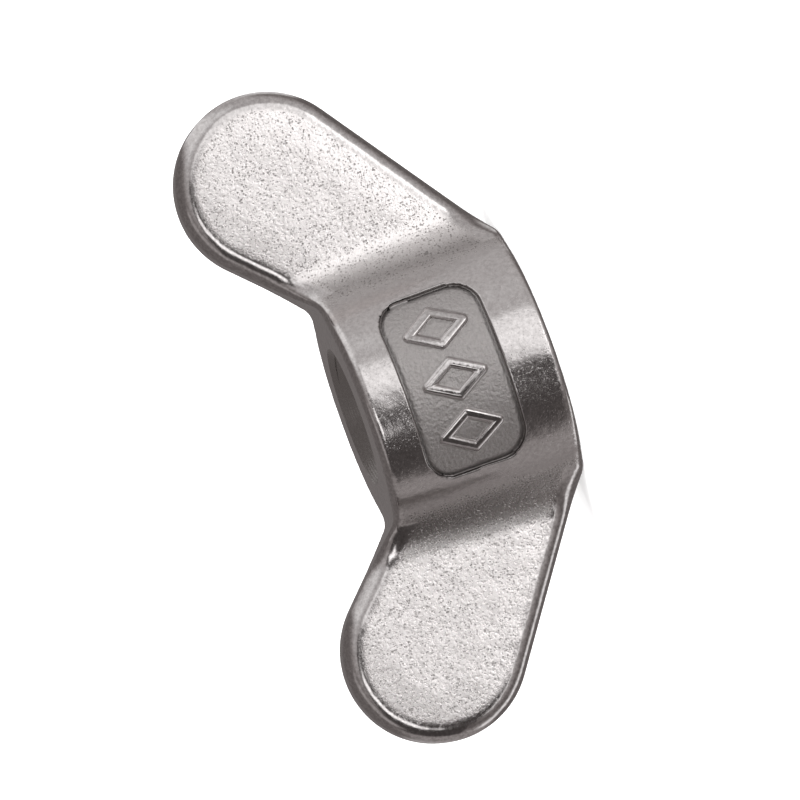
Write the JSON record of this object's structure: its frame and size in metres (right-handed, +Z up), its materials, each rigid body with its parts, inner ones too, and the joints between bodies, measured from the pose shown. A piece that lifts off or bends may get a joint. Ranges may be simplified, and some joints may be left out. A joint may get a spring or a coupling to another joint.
{
  "type": "wing nut",
  "caption": "Cast steel wing nut: tapered round hub with a threaded through hole, rising flat rounded wings to turn by hand, and a shallow marked panel on the hub.",
  "frame": {"origin": "centre of the hub's flat base, where the thread axis leaves the seating face", "axes": "+Z up the thread axis from the seating face to the hub's upper end, +X towards one wing tip, -Y out of one marked panel"},
  "size_m": [0.051, 0.0192, 0.022],
  "materials": {
    "cast_stainless_steel": "grainy as-cast investment casting, tumbled, with polished rounded edges"
  },
  "bodies": {
    "root": {"wing_nut": "cast_stainless_steel"}
  },
  "joints": []
}
